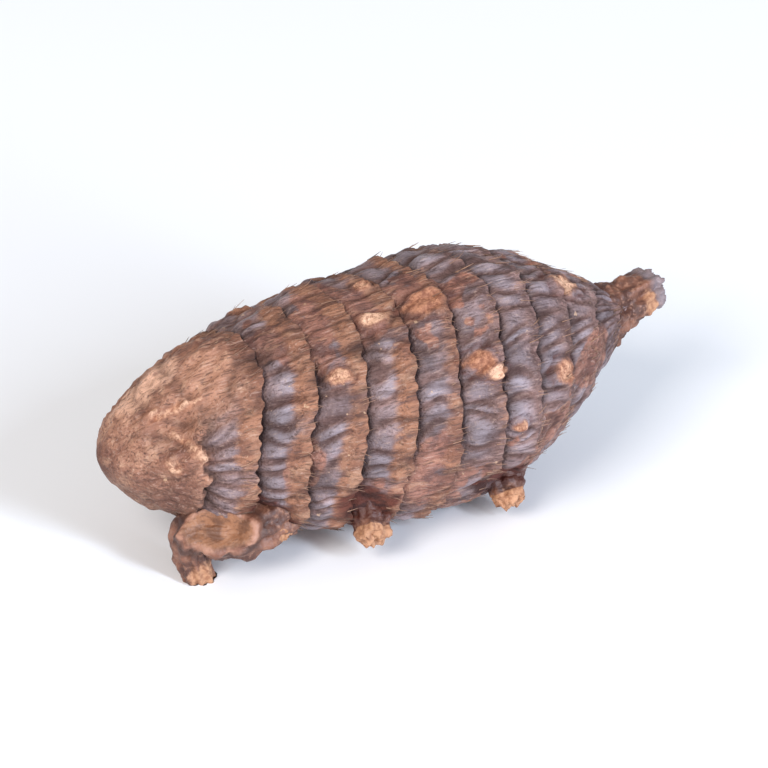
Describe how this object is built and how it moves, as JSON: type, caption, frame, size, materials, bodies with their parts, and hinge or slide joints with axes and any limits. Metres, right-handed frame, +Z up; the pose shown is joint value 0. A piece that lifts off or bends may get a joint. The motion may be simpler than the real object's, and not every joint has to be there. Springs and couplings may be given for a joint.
{
  "type": "nut grass tuber",
  "caption": "Dried spindle-shaped tuber with ringed, ribbed sheaths, a blunt base, a conical tip and stubs of broken roots, lying on its side.",
  "frame": {"origin": "middle of the flat spot on the belly, on the surface that the tuber lies on", "axes": "+X along the tuber from its blunt base end to its tip, +Y to the far side, away from the bent root, +Z up"},
  "size_m": [0.0254, 0.0116, 0.0106],
  "materials": {
    "tuber_skin": "matte"
  },
  "bodies": {
    "root": {"tuber": "tuber_skin"}
  },
  "joints": []
}
